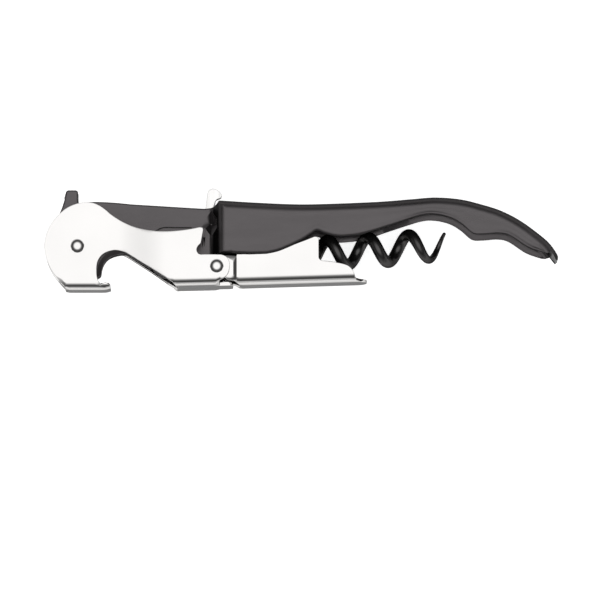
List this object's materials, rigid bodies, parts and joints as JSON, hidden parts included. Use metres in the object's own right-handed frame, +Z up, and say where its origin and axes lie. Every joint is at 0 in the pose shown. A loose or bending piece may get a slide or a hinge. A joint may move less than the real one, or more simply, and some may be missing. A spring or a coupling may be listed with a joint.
{
  "type": "waiters corkscrew",
  "caption": "Folding waiter's corkscrew with a curved channel handle, a two-step bottle-lip lever with cap lifter, a helical worm and a serrated foil knife.",
  "frame": {"origin": "under the middle of the closed tool's box, in the plane that its lower side rests on", "axes": "+X along the tool from the head to the tail of the handle, +Y from the lever side to the spine, +Z up, across the tool and along every hinge pin"},
  "size_m": [0.12, 0.0242, 0.0161],
  "materials": {
    "black_enamel": "satin black enamel on pressed steel",
    "bright_chrome": "bright nickel-chrome plate, nearly a mirror",
    "black_coating": "semi-gloss black low-friction coating on steel wire and rivets",
    "ground_steel": "ground stainless steel"
  },
  "bodies": {
    "handle": {"body": "black_enamel", "main_rivet": "bright_chrome", "worm_rivet": "black_coating", "main_washer_upper": "ground_steel", "main_washer_lower": "ground_steel", "worm_washer_upper": "black_coating", "worm_washer_lower": "black_coating"},
    "lever": {"lever_first_step": "bright_chrome", "step_rivet": "bright_chrome"},
    "boot": {"boot_second_step": "bright_chrome"},
    "worm": {"worm": "black_coating"},
    "knife": {"knife": "ground_steel"}
  },
  "joints": [
    {"name": "lever_hinge", "type": "hinge", "parent": "handle", "child": "lever", "pos_m": [-0.05228, -0.00183, 0.00807], "axis": [0, 0, 1], "range_deg": [-135, 0]},
    {"name": "boot_hinge", "type": "hinge", "parent": "lever", "child": "boot", "pos_m": [-0.01986, -0.00683, 0.00807], "axis": [0, 0, 1], "range_deg": [-25, 0]},
    {"name": "worm_hinge", "type": "hinge", "parent": "handle", "child": "worm", "pos_m": [-0.03109, -0.00443, 0.00807], "axis": [0, 0, 1], "range_deg": [-100, 0]},
    {"name": "knife_hinge", "type": "hinge", "parent": "handle", "child": "knife", "pos_m": [-0.05228, -0.00183, 0.00807], "axis": [0, 0, 1], "range_deg": [0, 62]}
  ],
  "couplings": [
    {"joint": "worm_hinge", "follows": "lever_hinge", "ratio": 0.72}
  ]
}
